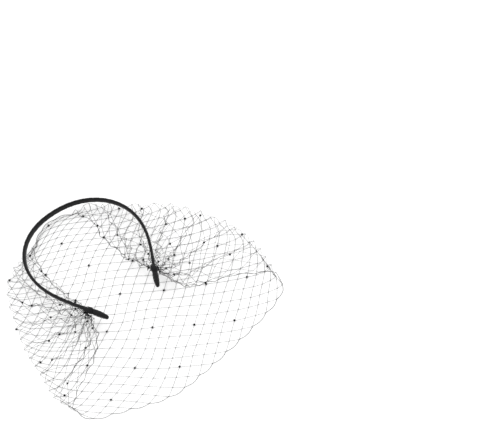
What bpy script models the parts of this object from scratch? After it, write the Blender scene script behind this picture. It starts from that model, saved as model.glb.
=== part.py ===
"""Birdcage veil: a ribbon-bound alice band with one rectangle of wide-mesh net gathered to its two ends.

The veil lies as it is laid down: the front of the net flat on the surface, folded over at the left
and at the right, and drawn from both folds up to the ends of the band in two pleated fans.
Plan axes: +X to the wearer's right, +Y from the band's ends to its crown, +Z up. Metres.
"""
import math

import bmesh
import bpy
import numpy as np

MM = 0.001

# Alice band
BAND_SPAN = 132 * MM
BAND_HEIGHT = 141 * MM
CROWN_RISE = 58 * MM
CROWN_SQUARENESS = 2.12
TIP_SPAN = 65 * MM
STRIP_WIDTH = 6.5 * MM
STRIP_THICKNESS = 3.0 * MM
LEAN_LEFT = math.radians(27)
LEAN_RIGHT = math.radians(6)
LEAN_TOWARDS = math.radians(145)
TIP_RISE = 12 * MM
BAND_TURN = math.radians(1.4)
LEG_PULL = 0.65
TIP_PULL = {"across": 0.69, "along": 0.35}
STRIP_SQUARENESS = 5
BAND_STATIONS = 60
QUARTER_STEPS = 24

# Ribbon wraps over the band's ends and thread windings at the gathers
GATHER_FROM_TIP = 20 * MM
WRAP_WIDTH = 8.2 * MM
WRAP_THICKNESS = 6.0 * MM
WRAP_SQUARENESS = 2.6
WRAP_SWELL = [1.0, 1.08, 1.10, 1.06, 0.98, 0.86]
NOSE_LENGTH = 1.2 * MM
NOSE_SHARE = {"width": 0.5, "thickness": 0.45}
BINDING_LENGTH = 7.4 * MM
BINDING_HEIGHT = 12 * MM
BINDING_THICKNESS = 7 * MM
BINDING_SQUARENESS = 2.2
BINDING_BULGE = [0.72, 0.90, 1.0, 0.90, 0.72]
CLEARANCE = 0.3 * MM

# Net
NET_LENGTH = 610 * MM
NET_WIDTH = 229 * MM
NET_THICKNESS = 1.4 * MM
STRAND_WIDTH = 3.0 * MM
CELLS_LONG = 6
CELLS_WIDE = 8
SCALLOP_DEPTH = 2.5 * MM
FOLD_RADIUS = 3.4 * MM
BUNCHED_SHARE = 0.06
PLEATS = 7
PLEAT_HEIGHT = 7 * MM
PLEAT_FADE = 0.6
FAN_CLIMB = 1.7

# Even spacing of the net's rows on the flat panel: how close to the folds it holds, and from how
# many places down the panel's middle it is worked out
EVEN_POWER = 4
EVEN_PLACES = 41

# Where the net lies: shares of the spread's width and depth, from the middle between the band's ends
SPREAD_WIDTH = 282 * MM
SPREAD_DEPTH = 250 * MM

# Near edge of the flat panel, from the left fold to the right one
NEAR_EDGE = [
    {"across": -0.390, "along": -0.312},
    {"across": -0.300, "along": -0.356},
    {"across": -0.190, "along": -0.392},
    {"across": -0.050, "along": -0.424},
    {"across": 0.110, "along": -0.392},
    {"across": 0.310, "along": -0.350},
    {"across": 0.510, "along": -0.272},
]

# Far edge of the flat panel, under the crown of the band
FAR_EDGE = [
    {"across": -0.086, "along": 0.540},
    {"across": -0.008, "along": 0.555},
]

# Outer lines of the two folds, from the near edge of the net to its far edge
LEFT_FOLD = [
    {"across": -0.425, "along": -0.252},
    {"across": -0.449, "along": -0.160},
    {"across": -0.438, "along": -0.060},
    {"across": -0.428, "along": 0.085},
    {"across": -0.388, "along": 0.240},
    {"across": -0.333, "along": 0.390},
    {"across": -0.232, "along": 0.472},
    {"across": -0.150, "along": 0.495},
]
RIGHT_FOLD = [
    {"across": 0.531, "along": -0.200},
    {"across": 0.537, "along": 0.035},
    {"across": 0.460, "along": 0.215},
    {"across": 0.370, "along": 0.340},
    {"across": 0.260, "along": 0.425},
    {"across": 0.135, "along": 0.530},
    {"across": 0.070, "along": 0.545},
]

# Share of the net's length at which each fold crosses its near and its far edge, and how far it
# bows off the straight line between them, so that the flat panel keeps the net's own spacing
LEFT_FOLD_SHARE = {"near": 0.246, "far": 0.400, "bow": -0.036}
RIGHT_FOLD_SHARE = {"near": 0.737, "far": 0.530, "bow": 0.042}

# Each fan's two edges: the compass from which they reach the gather, in degrees, how far they bow
# towards the front as a share of the spread's depth, and how close to the gather they bow most
LEFT_FAN = {
    "near": {"compass": 240, "bow": 0.048, "skew": 1.4},
    "far": {"compass": 98, "bow": 0.032, "skew": 0.7},
}
RIGHT_FAN = {
    "near": {"compass": 312, "bow": 0.064, "skew": 2.0},
    "far": {"compass": 452, "bow": -0.044, "skew": 1.5},
}

# Ridges that run from a fold to its gather: place across the net, spread there and rise
MAIN_PLEATS = [
    {"side": -1, "place": 0.16, "spread": 0.05, "rise": 0.35},
    {"side": -1, "place": 0.55, "spread": 0.06, "rise": 0.25},
    {"side": 1, "place": 0.30, "spread": 0.05, "rise": 0.45},
    {"side": 1, "place": 0.62, "spread": 0.06, "rise": 0.25},
]


def direction(angle):
    """Unit vector in plan at an angle in radians."""
    return np.array([math.cos(angle), math.sin(angle), 0.0])


def unit(vector):
    return vector / np.linalg.norm(vector)


def smooth_line(points, steps=12):
    """Catmull-Rom line through points, as a dense polyline."""
    points = np.asarray(points, dtype=float)
    padded = np.vstack([2 * points[0] - points[1], points, 2 * points[-1] - points[-2]])
    line = []
    for before, start, end, after in zip(padded, padded[1:], padded[2:], padded[3:]):
        for step in range(steps):
            t = step / steps
            line.append(0.5 * (2 * start + (end - before) * t
                               + (2 * before - 5 * start + 4 * end - after) * t ** 2
                               + (3 * start - before - 3 * end + after) * t ** 3))
    line.append(points[-1])
    return np.array(line)


def table_points(rows):
    """Points of a table's rows, flat in plan."""
    return [(row["across"] * SPREAD_WIDTH, row["along"] * SPREAD_DEPTH, 0.0) for row in rows]


def along(line, share):
    """Point and unit tangent at a share of a polyline's length, run on straight past its ends."""
    steps = np.linalg.norm(np.diff(line, axis=0), axis=1)
    lengths = np.concatenate([[0.0], np.cumsum(steps)])
    goal = share * lengths[-1]
    index = int(np.clip(np.searchsorted(lengths, goal) - 1, 0, len(steps) - 1))
    tangent = (line[index + 1] - line[index]) / steps[index]
    return line[index] + (goal - lengths[index]) * tangent, tangent


# Band

def band_plan():
    """Centreline of the band in plan, from the left tip over the crown to the right tip."""
    half_span = BAND_SPAN / 2
    widest = BAND_HEIGHT - CROWN_RISE
    tip = np.array([TIP_SPAN / 2, 0.0])
    shoulder = np.array([half_span, widest])
    leg_pull = np.array([half_span, LEG_PULL * widest])
    tip_pull = np.array([TIP_PULL["across"] * half_span, TIP_PULL["along"] * widest])
    half = []
    for step in range(QUARTER_STEPS):
        angle = step / QUARTER_STEPS * math.pi / 2
        half.append((half_span * math.sin(angle) ** (2 / CROWN_SQUARENESS),
                     widest + CROWN_RISE * math.cos(angle) ** (2 / CROWN_SQUARENESS)))
    for step in range(QUARTER_STEPS + 1):
        t = step / QUARTER_STEPS
        half.append((1 - t) ** 3 * shoulder + 3 * (1 - t) ** 2 * t * leg_pull
                    + 3 * (1 - t) * t ** 2 * tip_pull + t ** 3 * tip)
    half = np.array(half)
    whole = np.vstack([half[:0:-1] * (-1, 1), half])
    turned_x = whole[:, 0] * math.cos(BAND_TURN) - whole[:, 1] * math.sin(BAND_TURN)
    turned_y = whole[:, 0] * math.sin(BAND_TURN) + whole[:, 1] * math.cos(BAND_TURN)
    return np.stack([turned_x, turned_y], axis=1)


def folded_top():
    """Height of the net's upper face where it lies folded double."""
    return NET_THICKNESS + 2 * FOLD_RADIUS


def band_line():
    """Centreline of the band in space: the crown lies on the folded net, the tips stand higher."""
    crown_height = folded_top() + 2 * CLEARANCE + STRIP_WIDTH / 2
    line = [(x, y, crown_height + TIP_RISE * (1 - y / BAND_HEIGHT)) for x, y in band_plan()]
    return np.array(line)


def band_frame(line, share):
    """Centre, tangent, leaning upright and side of the strip at a share of the band's length."""
    centre, tangent = along(line, share)
    lean = LEAN_LEFT + (LEAN_RIGHT - LEAN_LEFT) * share
    upright = math.cos(lean) * np.array([0.0, 0.0, 1.0]) + math.sin(lean) * direction(LEAN_TOWARDS)
    upright = unit(upright - tangent * np.dot(upright, tangent))
    return centre, tangent, upright, np.cross(tangent, upright)


def line_length(line):
    return float(np.linalg.norm(np.diff(line, axis=0), axis=1).sum())


def section(frame, height, thickness, squareness, sides=12):
    """Closed ring of points around a frame: a rounded bar's section."""
    centre, _, upright, side = frame
    ring = []
    for index in range(sides):
        angle = 2 * math.pi * (index + 0.5) / sides
        c, s = math.cos(angle), math.sin(angle)
        up = math.copysign(abs(c) ** (2 / squareness), c) * height / 2
        out = math.copysign(abs(s) ** (2 / squareness), s) * thickness / 2
        ring.append(centre + up * upright + out * side)
    return ring


def add_loft(bm, rings, cap_start=True, cap_end=True):
    """Skin over rings of points; returns the rings as vertices."""
    verts = [[bm.verts.new(point) for point in ring] for ring in rings]
    for ring, following in zip(verts, verts[1:]):
        for index in range(len(ring)):
            after = (index + 1) % len(ring)
            bm.faces.new((ring[index], ring[after], following[after], following[index]))
    if cap_start:
        bm.faces.new(list(reversed(verts[0])))
    if cap_end:
        bm.faces.new(verts[-1])
    return verts


def bridge(bm, outer, inner):
    """Flat ring between two rings of the same number of vertices."""
    for index in range(len(outer)):
        after = (index + 1) % len(outer)
        bm.faces.new((outer[index], outer[after], inner[after], inner[index]))


def finish_object(name, bm, material):
    """Turn a bmesh into a named object with outward faces."""
    bmesh.ops.recalc_face_normals(bm, faces=bm.faces)
    mesh = bpy.data.meshes.new(name)
    bm.to_mesh(mesh)
    bm.free()
    mesh.materials.append(material)
    mesh.shade_smooth()
    mesh.set_sharp_from_angle(angle=math.radians(35))
    built = bpy.data.objects.new(name, mesh)
    bpy.context.scene.collection.objects.link(built)
    return built


def build_headband(line, material):
    """The strip itself, from tip to tip."""
    bm = bmesh.new()
    end = 2 * CLEARANCE / line_length(line)
    shares = [end + (1 - 2 * end) * step / BAND_STATIONS for step in range(BAND_STATIONS + 1)]
    rings = [section(band_frame(line, share), STRIP_WIDTH, STRIP_THICKNESS, STRIP_SQUARENESS)
             for share in shares]
    add_loft(bm, rings)
    return finish_object("headband", bm, material)


def strip_channel(line, shares):
    """Rings just clear of the strip, for a sleeve's inside."""
    wide = STRIP_WIDTH + 2 * CLEARANCE
    thick = STRIP_THICKNESS + 2 * CLEARANCE
    return [section(band_frame(line, share), wide, thick, STRIP_SQUARENESS) for share in shares]


def build_tip_wrap(name, line, side, material):
    """Ribbon wrap over one end of the band, open towards the gather and closed at the tip."""
    length = line_length(line)
    start = (GATHER_FROM_TIP - BINDING_LENGTH / 2 - CLEARANCE) / length
    shares = [start * (1 - step / (len(WRAP_SWELL) - 1)) for step in range(len(WRAP_SWELL))]
    if side > 0:
        shares = [1 - share for share in shares]
    outer = [section(band_frame(line, share), WRAP_WIDTH * size, WRAP_THICKNESS * size, WRAP_SQUARENESS)
             for share, size in zip(shares, WRAP_SWELL)]
    nose = shares[-1] + side * NOSE_LENGTH / length
    outer.append(section(band_frame(line, nose), NOSE_SHARE["width"] * WRAP_WIDTH,
                         NOSE_SHARE["thickness"] * WRAP_THICKNESS, WRAP_SQUARENESS))
    inner_shares = shares[:-1] + [shares[-1] - side * CLEARANCE / length]
    bm = bmesh.new()
    shell = add_loft(bm, outer, cap_start=False)
    channel = add_loft(bm, strip_channel(line, inner_shares), cap_start=False)
    bridge(bm, shell[0], channel[0])
    return finish_object(name, bm, material)


def build_gather_binding(name, line, side, material):
    """Thread winding round the strip and the neck of the gathered net, thickest in its middle."""
    length = line_length(line)
    middle = GATHER_FROM_TIP / length
    steps = len(BINDING_BULGE) - 1
    shares = [middle + (step / steps - 0.5) * BINDING_LENGTH / length for step in range(steps + 1)]
    if side > 0:
        shares = [1 - share for share in shares]
    outer = [section(band_frame(line, share), BINDING_HEIGHT * size, BINDING_THICKNESS * size,
                     BINDING_SQUARENESS) for share, size in zip(shares, BINDING_BULGE)]
    bm = bmesh.new()
    shell = add_loft(bm, outer, cap_start=False, cap_end=False)
    channel = add_loft(bm, strip_channel(line, shares), cap_start=False, cap_end=False)
    bridge(bm, shell[0], channel[0])
    bridge(bm, shell[-1], channel[-1])
    return finish_object(name, bm, material)


# Net

class NetForm:
    """The lying net as a surface over its flat rectangle."""

    def __init__(self, line):
        self.hub_radius = BINDING_LENGTH / 2 + 2 * CLEARANCE
        hub_drop = STRIP_WIDTH / 2 + 2 * CLEARANCE + NET_THICKNESS / 2
        gather_share = GATHER_FROM_TIP / line_length(line)
        self.folds = {}
        sides = ((-1, LEFT_FOLD, LEFT_FOLD_SHARE, LEFT_FAN), (1, RIGHT_FOLD, RIGHT_FOLD_SHARE, RIGHT_FAN))
        for side, rows, shares, fan in sides:
            centre, _, upright, _ = band_frame(line, gather_share if side < 0 else 1 - gather_share)
            pleats = [row for row in MAIN_PLEATS if row["side"] == side]
            self.folds[side] = {"line": smooth_line(table_points(rows)), "shares": shares, "fan": fan,
                                "gather": centre - hub_drop * upright, "pleats": pleats}
        self.near = self.panel_edge(NEAR_EDGE, 0.0)
        self.far = self.panel_edge(FAR_EDGE, 1.0)
        self.even_rows = self.even_table()

    def panel_edge(self, rows, v):
        """Long edge of the flat panel, from the left fold to the right one."""
        ends = self.turn(-1, v, 0.0), self.turn(1, v, 0.0)
        line = smooth_line([ends[0]] + table_points(rows) + [ends[1]])
        line[:, 2] = ends[0][2]
        return line

    def fold_share(self, side, v):
        shares = self.folds[side]["shares"]
        return shares["near"] + (shares["far"] - shares["near"]) * v + shares["bow"] * 4 * v * (1 - v)

    def fold_edge(self, side, v):
        """Outer point of the fold and the level direction that leads inwards from it."""
        point, tangent = along(self.folds[side]["line"], v)
        inwards = np.array([-tangent[1], tangent[0], 0.0]) * side
        return point, inwards

    def turn(self, side, v, angle):
        """Round of the fold: angle 0 where the net leaves the surface, pi where it lies on top."""
        point, inwards = self.fold_edge(side, v)
        level = point + inwards * FOLD_RADIUS * (1 - math.sin(angle))
        level[2] = NET_THICKNESS / 2 + FOLD_RADIUS * (1 - math.cos(angle))
        return level

    def even_table(self):
        """Places across the patch against the shares of its middle line's length."""
        places = np.linspace(0.0, 1.0, EVEN_PLACES)
        line = np.array([self.patch(0.5, place) for place in places])
        lengths = np.concatenate([[0.0], np.cumsum(np.linalg.norm(np.diff(line, axis=0), axis=1))])
        return lengths / lengths[-1], places

    def panel(self, s, v):
        """Flat panel between the folds, with the net's rows evenly spaced down its middle."""
        inside = min(max(v, 0.0), 1.0)
        shift = np.interp(inside, *self.even_rows) - inside
        return self.patch(s, v + shift * (1 - abs(2 * s - 1) ** EVEN_POWER))

    def patch(self, s, v):
        """Patch over the four edges of the flat panel."""
        level = self.turn(-1, v, 0.0) * (1 - s) + self.turn(1, v, 0.0) * s
        for edge, share in ((self.near, 1 - v), (self.far, v)):
            point, _ = along(edge, s)
            level += (point - edge[0] * (1 - s) - edge[-1] * s) * share
        return level

    def fan(self, side, t, v):
        """Pleated fan from the top of the fold (t 0) to the hub at the gather (t 1)."""
        fold = self.folds[side]
        near, far = fold["fan"]["near"], fold["fan"]["far"]
        start = self.turn(side, v, math.pi)
        compass = math.radians(near["compass"] + (far["compass"] - near["compass"]) * v)
        end = fold["gather"] + self.hub_radius * direction(compass)
        point = start + (end - start) * t
        point[2] = start[2] + (end[2] - start[2]) * t ** FAN_CLIMB
        run = unit((end - start) * (1, 1, 0))
        sideways = np.array([-run[1], run[0], 0.0]) * side
        for edge, share in ((near, max(1 - v, 0.0)), (far, max(v, 0.0))):
            point += sideways * edge["bow"] * SPREAD_DEPTH * math.sin(math.pi * t ** edge["skew"]) * share ** 2
        lift = 0.5 + 0.5 * math.cos(2 * math.pi * PLEATS * v)
        lift += sum(row["rise"] * math.exp(-((v - row["place"]) / row["spread"]) ** 2) for row in fold["pleats"])
        point[2] += PLEAT_HEIGHT * lift * math.sin(math.pi * t) * max(1 - v, 0.0) ** PLEAT_FADE
        return point

    def point(self, u, v):
        """Middle of the net's thickness at share u of its length and v of its width."""
        bend = math.pi * FOLD_RADIUS / 2 / NET_LENGTH
        left = self.fold_share(-1, v)
        right = self.fold_share(1, v)
        if u < left - bend:
            return self.fan(-1, 1 - u / (left - bend), v)
        if u < left + bend:
            return self.turn(-1, v, math.pi * (left + bend - u) / (2 * bend))
        if u < right - bend:
            return self.panel((u - left - bend) / (right - left - 2 * bend), v)
        if u < right + bend:
            return self.turn(1, v, math.pi * (u - right + bend) / (2 * bend))
        return self.fan(1, (u - right - bend) / (1 - right - bend), v)


class NetMesh:
    """Lattice of flat strands laid out on the net's rectangle and carried onto its form."""

    def __init__(self, form):
        self.form = form
        self.bm = bmesh.new()
        self.cell_length = NET_LENGTH * (1 - 2 * BUNCHED_SHARE) / CELLS_LONG
        self.cell_width = NET_WIDTH / CELLS_WIDE
        half_length, half_width = self.cell_length / 2, self.cell_width / 2
        run = math.hypot(half_length, half_width)
        half_strand = STRAND_WIDTH / 2
        self.crotch_long = half_strand * run / half_width
        self.crotch_wide = half_strand * run / half_length
        self.edge_crotch = half_strand * (run + half_length) / half_width
        self.half_strand = half_strand

    def vert(self, x, y):
        """New vertex at a flat place, x along the net and y across it."""
        return self.bm.verts.new(self.form.point(x / NET_LENGTH, y / NET_WIDTH))

    def strip(self, first, last, flats, bulge=0.0, pieces=4):
        """Strand from one vertex pair to another; flats holds the four flat places."""
        left, right = first
        (lx, ly), (rx, ry), (lx2, ly2), (rx2, ry2) = flats
        for step in range(1, pieces + 1):
            t = step / pieces
            drop = -bulge * math.sin(math.pi * t)
            if step == pieces:
                new_left, new_right = last
            else:
                new_left = self.vert(lx + (lx2 - lx) * t, ly + (ly2 - ly) * t + drop)
                new_right = self.vert(rx + (rx2 - rx) * t, ry + (ry2 - ry) * t + drop)
            self.bm.faces.new((left, right, new_right, new_left))
            left, right = new_left, new_right

    def knot(self, a, b):
        """Corners of the knot at half-cell place a, b: east, north, west and south."""
        x = NET_LENGTH * BUNCHED_SHARE + a * self.cell_length / 2
        y = b * self.cell_width / 2
        last_a, last_b = 2 * CELLS_LONG, 2 * CELLS_WIDE
        places = {"E": (x + self.crotch_long, y), "W": (x - self.crotch_long, y),
                  "N": (x, y + self.crotch_wide), "S": (x, y - self.crotch_wide)}
        if b == 0:
            places.update(E=(x + self.edge_crotch, self.half_strand),
                          W=(x - self.edge_crotch, self.half_strand), S=(x, -self.half_strand))
        if b == last_b:
            places.update(E=(x + self.edge_crotch, y - self.half_strand),
                          W=(x - self.edge_crotch, y - self.half_strand), N=(x, y + self.half_strand))
        if a == 0:
            del places["W"]
        if a == last_a:
            del places["E"]
        verts = {name: self.vert(*place) for name, place in places.items()}
        self.bm.faces.new([verts[name] for name in "ENWS" if name in verts])
        return {"verts": verts, "places": places}

    def join(self, first, last, first_sides, last_sides, bulge=0.0):
        """Strand between two knots, from one side of the first to the facing side of the last."""
        ends = [(first["verts"][name], first["places"][name]) for name in first_sides]
        ends += [(last["verts"][name], last["places"][name]) for name in last_sides]
        verts = [vert for vert, _ in ends]
        places = [place for _, place in ends]
        self.strip((verts[0], verts[1]), (verts[2], verts[3]), places, bulge)

    def lattice(self):
        """All knots, the crossing strands between them and the scalloped strand of each long edge."""
        last_a, last_b = 2 * CELLS_LONG, 2 * CELLS_WIDE
        knots = {(a, b): self.knot(a, b)
                 for a in range(last_a + 1) for b in range(last_b + 1) if (a + b) % 2 == 0}
        for (a, b), knot in knots.items():
            if (a + 1, b + 1) in knots:
                self.join(knot, knots[a + 1, b + 1], "NE", "WS")
            if (a + 1, b - 1) in knots:
                self.join(knot, knots[a + 1, b - 1], "ES", "NW")
            if b == 0 and (a + 2, b) in knots:
                self.join(knot, knots[a + 2, b], "ES", "WS", SCALLOP_DEPTH)
            if b == last_b and (a + 2, b) in knots:
                self.join(knot, knots[a + 2, b], "NE", "NW", -SCALLOP_DEPTH)
        return knots

    def bunch(self, knots, a, gap_pieces=4, rows=5):
        """Pleated end of the net, closed cloth from the last column of knots to the hub."""
        edge = []
        for b in range(0, 2 * CELLS_WIDE + 1, 2):
            knot = knots[a, b]
            if edge:
                x, y = knot["places"]["S"]
                before = edge[-1][1]
                for step in range(1, gap_pieces):
                    place = (x, before[1] + (y - before[1]) * step / gap_pieces)
                    edge.append((self.vert(*place), place))
            edge.append((knot["verts"]["S"], knot["places"]["S"]))
            edge.append((knot["verts"]["N"], knot["places"]["N"]))
        start = edge[0][1][0]
        goal = 0.0 if a == 0 else NET_LENGTH
        row = [vert for vert, _ in edge]
        for step in range(1, rows + 1):
            x = start + (goal - start) * step / rows
            following = [self.vert(x, place[1]) for _, place in edge]
            for index in range(len(row) - 1):
                self.bm.faces.new((row[index], row[index + 1], following[index + 1], following[index]))
            row = following

    def build(self, name, material):
        knots = self.lattice()
        self.bunch(knots, 0)
        self.bunch(knots, 2 * CELLS_LONG)
        built = finish_object(name, self.bm, material)
        thicken = built.modifiers.new("Thickness", "SOLIDIFY")
        thicken.thickness = NET_THICKNESS
        thicken.offset = 0.0
        return built


def make_material(name, colour, roughness, metallic=0.0):
    material = bpy.data.materials.new(name)
    material.use_nodes = True
    shader = material.node_tree.nodes["Principled BSDF"]
    shader.inputs["Base Color"].default_value = (*colour, 1.0)
    shader.inputs["Roughness"].default_value = roughness
    shader.inputs["Metallic"].default_value = metallic
    return material


def centre_on_footprint(objects):
    """Move the part so that its origin is the middle of its footprint, on the surface."""
    bpy.context.view_layer.update()
    graph = bpy.context.evaluated_depsgraph_get()
    corners = []
    for item in objects:
        shape = item.evaluated_get(graph)
        corners += [vert.co[:] for vert in shape.data.vertices]
    corners = np.array(corners)
    low, high = corners.min(axis=0), corners.max(axis=0)
    for item in objects:
        item.location = (-(low[0] + high[0]) / 2, -(low[1] + high[1]) / 2, -low[2])


def main():
    for item in list(bpy.data.objects):
        bpy.data.objects.remove(item, do_unlink=True)
    ribbon = make_material("black_satin_ribbon", (0.012, 0.012, 0.014), 0.42)
    thread = make_material("black_sewing_thread", (0.010, 0.010, 0.012), 0.6)
    veiling = make_material("black_nylon_veiling", (0.018, 0.018, 0.020), 0.5)
    line = band_line()
    pieces = [build_headband(line, ribbon)]
    for side, word in ((-1, "left"), (1, "right")):
        pieces.append(build_tip_wrap(f"tip_wrap_{word}", line, side, ribbon))
        pieces.append(build_gather_binding(f"gather_binding_{word}", line, side, thread))
    pieces.append(NetMesh(NetForm(line)).build("net_veil", veiling))
    centre_on_footprint(pieces)


main()
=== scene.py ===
# %% [markdown]
# # A birdcage veil, built around its CAD model
#
# The real thing is an alice band wound in black satin ribbon. One rectangle of wide-mesh nylon
# veiling is gathered to its two ends, and small chenille dots sit on some of the knots. It lies on
# a pale surface: the front of the net flat, both sides folded over and drawn up to the gathers.
#
# The CAD model holds the main forms. This lesson adds what it leaves out: every thread and knot of
# the net, the dots, the ribbon's turns and the thread windings. All lengths are in metres.

# %% Load the fixed frame
import math

import bmesh
import bpy
import numpy as np
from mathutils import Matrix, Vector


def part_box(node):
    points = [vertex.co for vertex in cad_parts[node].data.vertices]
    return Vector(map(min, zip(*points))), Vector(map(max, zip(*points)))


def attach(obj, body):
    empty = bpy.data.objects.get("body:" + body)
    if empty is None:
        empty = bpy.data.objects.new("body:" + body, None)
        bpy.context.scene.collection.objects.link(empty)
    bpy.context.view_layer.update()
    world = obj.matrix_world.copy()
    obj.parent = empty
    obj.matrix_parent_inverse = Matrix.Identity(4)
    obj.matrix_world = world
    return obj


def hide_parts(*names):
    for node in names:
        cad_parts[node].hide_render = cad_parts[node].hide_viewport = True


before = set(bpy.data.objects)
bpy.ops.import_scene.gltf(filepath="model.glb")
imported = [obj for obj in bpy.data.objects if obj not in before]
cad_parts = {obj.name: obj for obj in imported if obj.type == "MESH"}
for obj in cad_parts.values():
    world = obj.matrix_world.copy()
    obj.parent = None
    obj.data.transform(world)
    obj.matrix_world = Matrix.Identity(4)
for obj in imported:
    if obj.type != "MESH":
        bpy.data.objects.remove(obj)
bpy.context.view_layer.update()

MM = 0.001

# %% [markdown]
# ## Small tools
#
# A colour is written as the hex value a designer would pick, and turned to the linear values that
# Blender works in. One function adds a node, sets it and links it, for materials and for geometry.

# %% Colour and node helpers


def linear(hex_colour):
    """Linear RGBA from an sRGB hex string."""
    channels = [int(hex_colour[start:start + 2], 16) / 255 for start in (1, 3, 5)]
    return [c / 12.92 if c <= 0.04045 else ((c + 0.055) / 1.055) ** 2.4 for c in channels] + [1.0]


def add_node(tree, kind, settings=None, links=None):
    """Add a node, set its properties or sockets and link its inputs."""
    node = tree.nodes.new(kind)
    for name, value in (settings or {}).items():
        if isinstance(name, str) and name in node.bl_rna.properties:
            setattr(node, name, value)
        else:
            node.inputs[name].default_value = value
    for name, socket in (links or {}).items():
        tree.links.new(socket, node.inputs[name])
    return node


# %% Objects from plain data


def linked_object(name, data):
    built = bpy.data.objects.new(name, data)
    bpy.context.scene.collection.objects.link(built)
    return built


def mesh_from(name, points, edges=(), faces=()):
    mesh = bpy.data.meshes.new(name)
    mesh.from_pydata([tuple(point) for point in points], edges, faces)
    return mesh


# %% [markdown]
# ## The band's line
#
# The alice band is a springy strip, opened a little where it lies. Its crown is part of a rounded
# square and its legs run in to the ends. The same named sizes as in the CAD model give the same
# line, so the ribbon lands exactly on the strip. The strip stands on edge and leans outwards.

# %% Sizes of the band
BAND_SPAN = 132 * MM
BAND_HEIGHT = 141 * MM
CROWN_RISE = 58 * MM
CROWN_SQUARENESS = 2.12
TIP_SPAN = 65 * MM
STRIP_WIDTH = 6.5 * MM
STRIP_THICKNESS = 3.0 * MM
LEAN_LEFT = math.radians(27)
LEAN_RIGHT = math.radians(6)
LEAN_TOWARDS = math.radians(145)
TIP_RISE = 12 * MM
BAND_TURN = math.radians(1.4)
LEG_PULL = 0.65
TIP_PULL = {"across": 0.69, "along": 0.35}
STRIP_SQUARENESS = 5
QUARTER_STEPS = 24
CLEARANCE = 0.3 * MM
NET_THICKNESS = 1.4 * MM
FOLD_RADIUS = 3.4 * MM

# %% Points, lines and frames


def direction(angle):
    """Unit vector in plan at an angle in radians."""
    return np.array([math.cos(angle), math.sin(angle), 0.0])


def unit(vector):
    return vector / np.linalg.norm(vector)


def smooth_line(points, steps=12):
    """Catmull-Rom line through points, as a dense polyline."""
    points = np.asarray(points, dtype=float)
    padded = np.vstack([2 * points[0] - points[1], points, 2 * points[-1] - points[-2]])
    line = []
    for before, start, end, after in zip(padded, padded[1:], padded[2:], padded[3:]):
        for step in range(steps):
            t = step / steps
            line.append(0.5 * (2 * start + (end - before) * t
                               + (2 * before - 5 * start + 4 * end - after) * t ** 2
                               + (3 * start - before - 3 * end + after) * t ** 3))
    line.append(points[-1])
    return np.array(line)


def along(line, share):
    """Point and unit tangent at a share of a polyline's length, run on straight past its ends."""
    steps = np.linalg.norm(np.diff(line, axis=0), axis=1)
    lengths = np.concatenate([[0.0], np.cumsum(steps)])
    goal = share * lengths[-1]
    index = int(np.clip(np.searchsorted(lengths, goal) - 1, 0, len(steps) - 1))
    tangent = (line[index + 1] - line[index]) / steps[index]
    return line[index] + (goal - lengths[index]) * tangent, tangent


def band_plan():
    """Centreline of the band in plan, from the left tip over the crown to the right tip."""
    half_span = BAND_SPAN / 2
    widest = BAND_HEIGHT - CROWN_RISE
    tip = np.array([TIP_SPAN / 2, 0.0])
    shoulder = np.array([half_span, widest])
    leg_pull = np.array([half_span, LEG_PULL * widest])
    tip_pull = np.array([TIP_PULL["across"] * half_span, TIP_PULL["along"] * widest])
    half = []
    for step in range(QUARTER_STEPS):
        angle = step / QUARTER_STEPS * math.pi / 2
        half.append((half_span * math.sin(angle) ** (2 / CROWN_SQUARENESS),
                     widest + CROWN_RISE * math.cos(angle) ** (2 / CROWN_SQUARENESS)))
    for step in range(QUARTER_STEPS + 1):
        t = step / QUARTER_STEPS
        half.append((1 - t) ** 3 * shoulder + 3 * (1 - t) ** 2 * t * leg_pull
                    + 3 * (1 - t) * t ** 2 * tip_pull + t ** 3 * tip)
    half = np.array(half)
    whole = np.vstack([half[:0:-1] * (-1, 1), half])
    turned_x = whole[:, 0] * math.cos(BAND_TURN) - whole[:, 1] * math.sin(BAND_TURN)
    turned_y = whole[:, 0] * math.sin(BAND_TURN) + whole[:, 1] * math.cos(BAND_TURN)
    return np.stack([turned_x, turned_y], axis=1)


def band_line():
    """Centreline of the band in space: the crown lies on the folded net, the tips stand higher."""
    folded_top = NET_THICKNESS + 2 * FOLD_RADIUS
    crown_height = folded_top + 2 * CLEARANCE + STRIP_WIDTH / 2
    line = [(x, y, crown_height + TIP_RISE * (1 - y / BAND_HEIGHT)) for x, y in band_plan()]
    return np.array(line)


def band_frame(line, share):
    """Centre, tangent, leaning upright and side of the strip at a share of the band's length."""
    centre, tangent = along(line, share)
    lean = LEAN_LEFT + (LEAN_RIGHT - LEAN_LEFT) * share
    upright = math.cos(lean) * np.array([0.0, 0.0, 1.0]) + math.sin(lean) * direction(LEAN_TOWARDS)
    upright = unit(upright - tangent * np.dot(upright, tangent))
    return centre, tangent, upright, np.cross(tangent, upright)


LINE = band_line()
BAND_LENGTH = float(np.linalg.norm(np.diff(LINE, axis=0), axis=1).sum())
print(f"band {BAND_LENGTH / MM:.0f} mm long")

# %% [markdown]
# The CAD model was centred on its footprint after it was built. The middle of the CAD strip's box
# against the middle of this line's box tells how far everything here has to move.

# %% Shift into the frame
BOX_STATIONS = 241


def section(frame_here, height, thickness, squareness, sides=12):
    """Closed ring of points around a frame: a rounded bar's section."""
    centre, _, upright, side = frame_here
    ring = []
    for index in range(sides):
        angle = 2 * math.pi * (index + 0.5) / sides
        c, s = math.cos(angle), math.sin(angle)
        up = math.copysign(abs(c) ** (2 / squareness), c) * height / 2
        out = math.copysign(abs(s) ** (2 / squareness), s) * thickness / 2
        ring.append(centre + up * upright + out * side)
    return ring


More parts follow.
